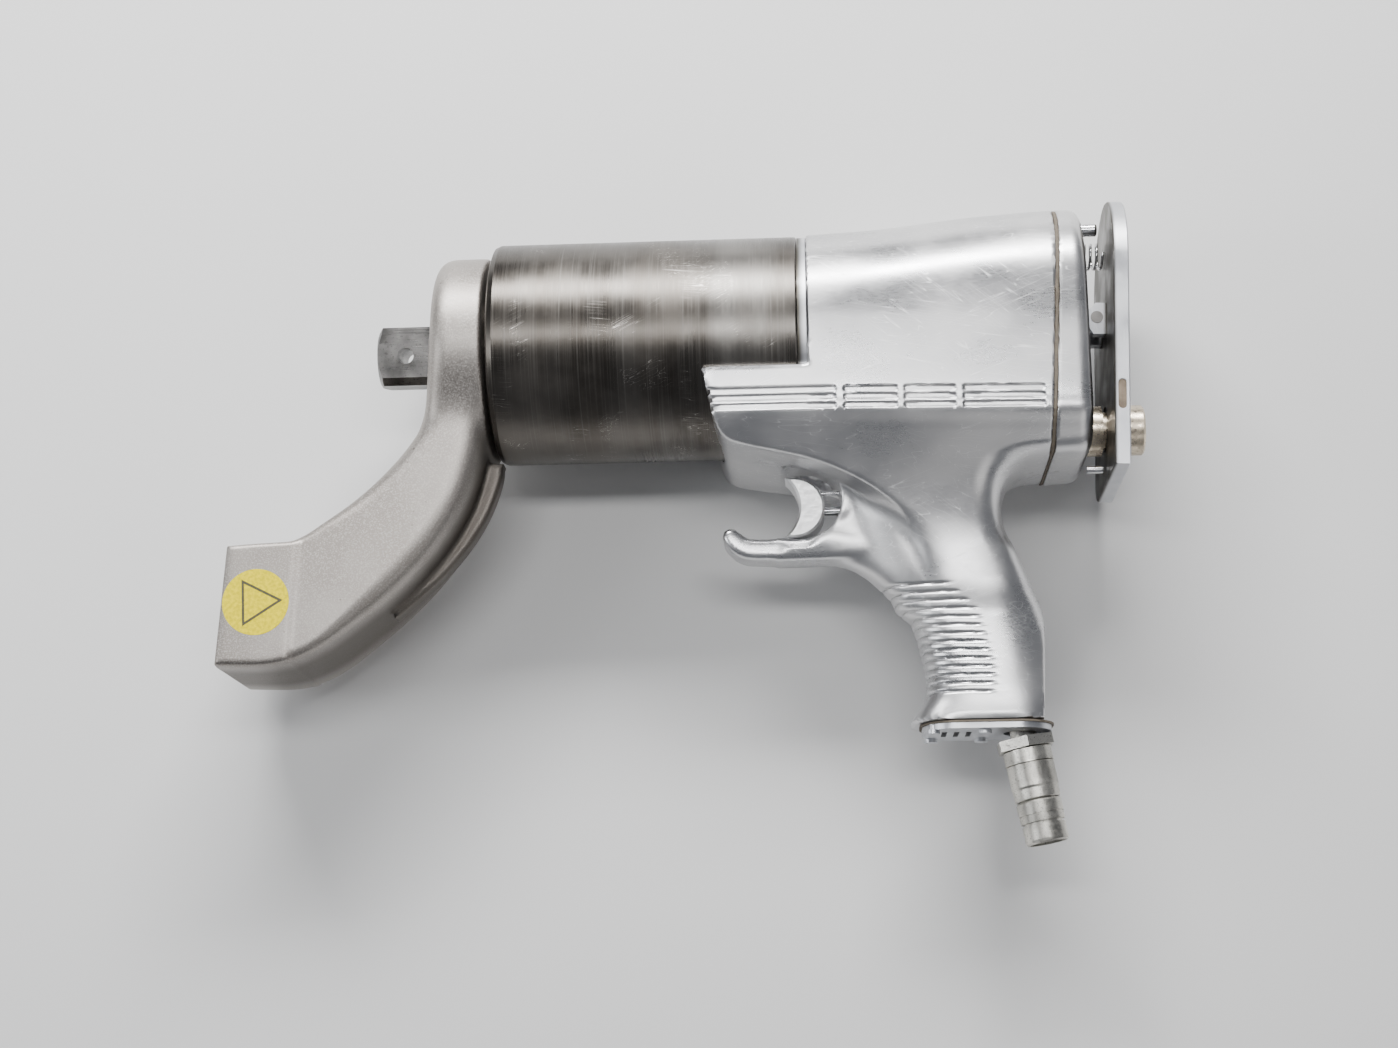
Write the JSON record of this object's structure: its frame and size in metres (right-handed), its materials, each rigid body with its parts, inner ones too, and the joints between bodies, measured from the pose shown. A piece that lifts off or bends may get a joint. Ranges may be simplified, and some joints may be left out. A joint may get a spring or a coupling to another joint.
{
  "type": "pneumatic torque wrench",
  "caption": "Pistol-grip pneumatic torque wrench with a square drive, cranked reaction arm, planetary gearbox, trigger, reversing rocker and air coupler.",
  "frame": {"origin": "centre of the cross hole in the square drive, on the drive axis", "axes": "+X along the drive axis from the square drive to the rear of the tool, +Y the top of the tool, +Z its left side; the tool lies on its right side"},
  "size_m": [0.3895, 0.2776, 0.097],
  "materials": {
    "drive_steel": "worn bare steel",
    "arm_steel": "satin blasted cast steel",
    "gearbox_black": "blackened, worn to bright in streaks",
    "gear_steel": "ground and hardened",
    "housing_aluminium": "polished and scratched casting",
    "plate_aluminium": "satin milled",
    "bright_steel": "bright drawn wire and pins",
    "trigger_white": "bright polished",
    "nickel": "dull nickel plate with grime",
    "plunger_brass": "nickel plated, worn to a warm tint",
    "bronze": "sintered bronze",
    "seal_rubber": "black nitrile",
    "gasket_paper": "oiled fibre sheet",
    "vane_plastic": "laminated phenolic",
    "label_yellow": "faded vinyl",
    "screw_steel": "black oxide"
  },
  "bodies": {
    "housing": {"motor_housing": "housing_aluminium", "spacer_ring": "plate_aluminium", "rear_gasket": "gasket_paper", "rear_cover": "housing_aluminium", "cover_screws": "screw_steel", "front_end_plate": "plate_aluminium", "rear_end_plate": "plate_aluminium", "cylinder_liner": "gear_steel", "front_bearing": "bright_steel", "rear_bearing": "bright_steel", "throttle_bush": "bronze", "valve_spring": "bright_steel", "rocker_lug": "plate_aluminium", "rocker_spring": "bright_steel", "rocker_stop": "bright_steel", "rocker_stop_screw": "bright_steel", "grip_gasket": "gasket_paper", "grip_end_plate": "plate_aluminium", "grip_screws": "screw_steel", "exhaust_silencer": "bronze", "inlet_adapter": "nickel", "coupler_body": "nickel", "locking_balls": "bright_steel", "coupler_spring": "bright_steel"},
    "gearbox": {"gearbox_housing": "gearbox_black", "reaction_arm": "arm_steel", "arm_retaining_ring": "screw_steel", "arm_label": "label_yellow", "output_bush": "bronze", "output_seal": "seal_rubber"},
    "output": {"drive_shaft": "drive_steel", "output_carrier_plate": "gear_steel", "output_planet_pins": "gear_steel"},
    "first_carrier": {"first_stage_carrier": "gear_steel", "first_carrier_plate": "gear_steel", "first_planet_pins": "gear_steel"},
    "motor_rotor": {"rotor": "gear_steel", "rotor_vanes": "vane_plastic"},
    "trigger_slider": {"trigger": "trigger_white", "valve_stem": "bright_steel", "trigger_guide_pin": "bright_steel"},
    "rocker": {"direction_rocker": "plate_aluminium", "rocker_pivot_pin": "screw_steel"},
    "plunger": {"reversing_plunger": "plunger_brass"},
    "sleeve": {"coupler_sleeve": "nickel"},
    "inlet_valve": {"coupler_valve": "nickel"},
    "output_planet_1_gear": {"output_planet_1": "gear_steel"},
    "output_planet_2_gear": {"output_planet_2": "gear_steel"},
    "output_planet_3_gear": {"output_planet_3": "gear_steel"},
    "first_planet_1_gear": {"first_planet_1": "gear_steel"},
    "first_planet_2_gear": {"first_planet_2": "gear_steel"},
    "first_planet_3_gear": {"first_planet_3": "gear_steel"}
  },
  "joints": [
    {"name": "gearbox_swivel", "type": "hinge", "parent": "housing", "child": "gearbox", "pos_m": [0.178, 0, 0], "axis": [1, 0, 0], "continuous": true},
    {"name": "drive_spin", "type": "hinge", "parent": "gearbox", "child": "output", "pos_m": [0, 0, 0], "axis": [1, 0, 0], "continuous": true},
    {"name": "first_carrier_spin", "type": "hinge", "parent": "gearbox", "child": "first_carrier", "pos_m": [0.1, 0, 0], "axis": [1, 0, 0], "continuous": true},
    {"name": "rotor_spin", "type": "hinge", "parent": "gearbox", "child": "motor_rotor", "pos_m": [0.22, 0, 0], "axis": [1, 0, 0], "continuous": true},
    {"name": "trigger_pull", "type": "slide", "parent": "housing", "child": "trigger_slider", "axis": [1, 0, 0], "range_m": [0, 0.0055], "stiffness_N_per_m": 1500, "springref_m": -0.004, "deforming": ["valve_spring"]},
    {"name": "rocker_tilt", "type": "hinge", "parent": "housing", "child": "rocker", "pos_m": [0.298, 0.007, 0], "axis": [0, 0, 1], "range_deg": [0, 5], "stiffness_Nm_per_rad": 8, "springref_deg": -5.73, "deforming": ["rocker_spring"]},
    {"name": "plunger_slide", "type": "slide", "parent": "housing", "child": "plunger", "axis": [1, 0, 0], "range_m": [0, 0.0043]},
    {"name": "sleeve_slide", "type": "slide", "parent": "housing", "child": "sleeve", "axis": [0.1805, -0.9836, 0], "range_m": [0, 0.003], "stiffness_N_per_m": 2000, "springref_m": -0.002},
    {"name": "inlet_valve_slide", "type": "slide", "parent": "housing", "child": "inlet_valve", "axis": [-0.1805, 0.9836, 0], "range_m": [0, 0.004], "stiffness_N_per_m": 1000, "springref_m": -0.003, "deforming": ["coupler_spring"]},
    {"name": "output_planet_1_spin", "type": "hinge", "parent": "output", "child": "output_planet_1_gear", "pos_m": [0.0675, 0.0225, 0], "axis": [1, 0, 0], "continuous": true},
    {"name": "output_planet_2_spin", "type": "hinge", "parent": "output", "child": "output_planet_2_gear", "pos_m": [0.0675, -0.01125, 0.01949], "axis": [1, 0, 0], "continuous": true},
    {"name": "output_planet_3_spin", "type": "hinge", "parent": "output", "child": "output_planet_3_gear", "pos_m": [0.0675, -0.01125, -0.01949], "axis": [1, 0, 0], "continuous": true},
    {"name": "first_planet_1_spin", "type": "hinge", "parent": "first_carrier", "child": "first_planet_1_gear", "pos_m": [0.117, 0.0225, 0], "axis": [1, 0, 0], "continuous": true},
    {"name": "first_planet_2_spin", "type": "hinge", "parent": "first_carrier", "child": "first_planet_2_gear", "pos_m": [0.117, -0.01125, 0.01949], "axis": [1, 0, 0], "continuous": true},
    {"name": "first_planet_3_spin", "type": "hinge", "parent": "first_carrier", "child": "first_planet_3_gear", "pos_m": [0.117, -0.01125, -0.01949], "axis": [1, 0, 0], "continuous": true}
  ],
  "couplings": [
    {"joint": "first_carrier_spin", "follows": "drive_spin", "ratio": 5},
    {"joint": "rotor_spin", "follows": "drive_spin", "ratio": 25},
    {"joint": "plunger_slide", "follows": "rocker_tilt", "m_per_rad": 0.048},
    {"joint": "output_planet_1_spin", "follows": "drive_spin", "ratio": -2.6667},
    {"joint": "output_planet_2_spin", "follows": "drive_spin", "ratio": -2.6667},
    {"joint": "output_planet_3_spin", "follows": "drive_spin", "ratio": -2.6667},
    {"joint": "first_planet_1_spin", "follows": "drive_spin", "ratio": -13.333},
    {"joint": "first_planet_2_spin", "follows": "drive_spin", "ratio": -13.333},
    {"joint": "first_planet_3_spin", "follows": "drive_spin", "ratio": -13.333}
  ]
}
